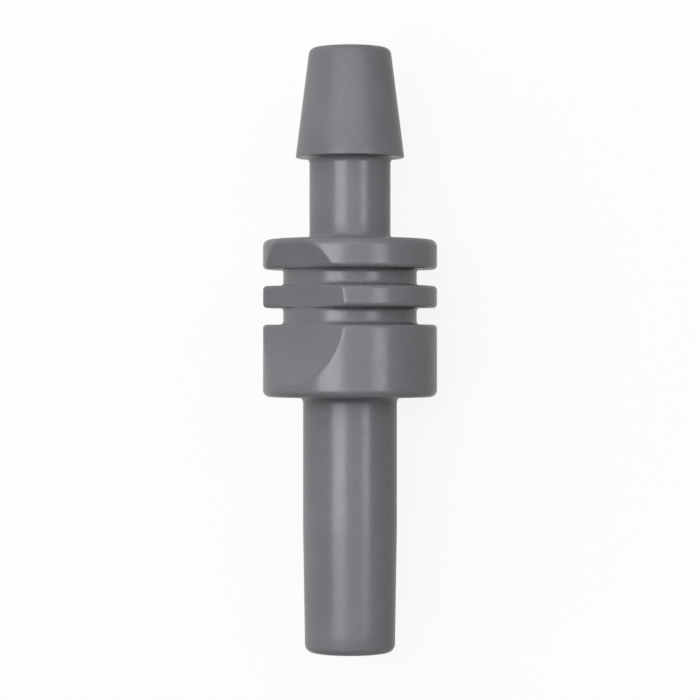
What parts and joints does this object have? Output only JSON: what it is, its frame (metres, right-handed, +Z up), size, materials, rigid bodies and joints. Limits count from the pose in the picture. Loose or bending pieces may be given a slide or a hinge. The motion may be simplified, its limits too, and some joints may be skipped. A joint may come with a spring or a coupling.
{
  "type": "blood pressure cuff connector",
  "caption": "One-piece moulded air hose connector: a hose barb on a neck, a ringed collar with a finger scoop on each side, and a plain slip tube, with an air passage right through.",
  "frame": {"origin": "on the axis of the air passage, level with the collar's face on the slip tube side", "axes": "+X along the air passage towards the barb's tip, +Z up and square to a finger scoop, as the connector lies on its collar with the other scoop down"},
  "size_m": [0.0306, 0.0088, 0.0088],
  "materials": {
    "grey_plastic": "fine satin as moulded, slightly violet mid grey"
  },
  "bodies": {
    "root": {"connector_body": "grey_plastic"}
  },
  "joints": []
}
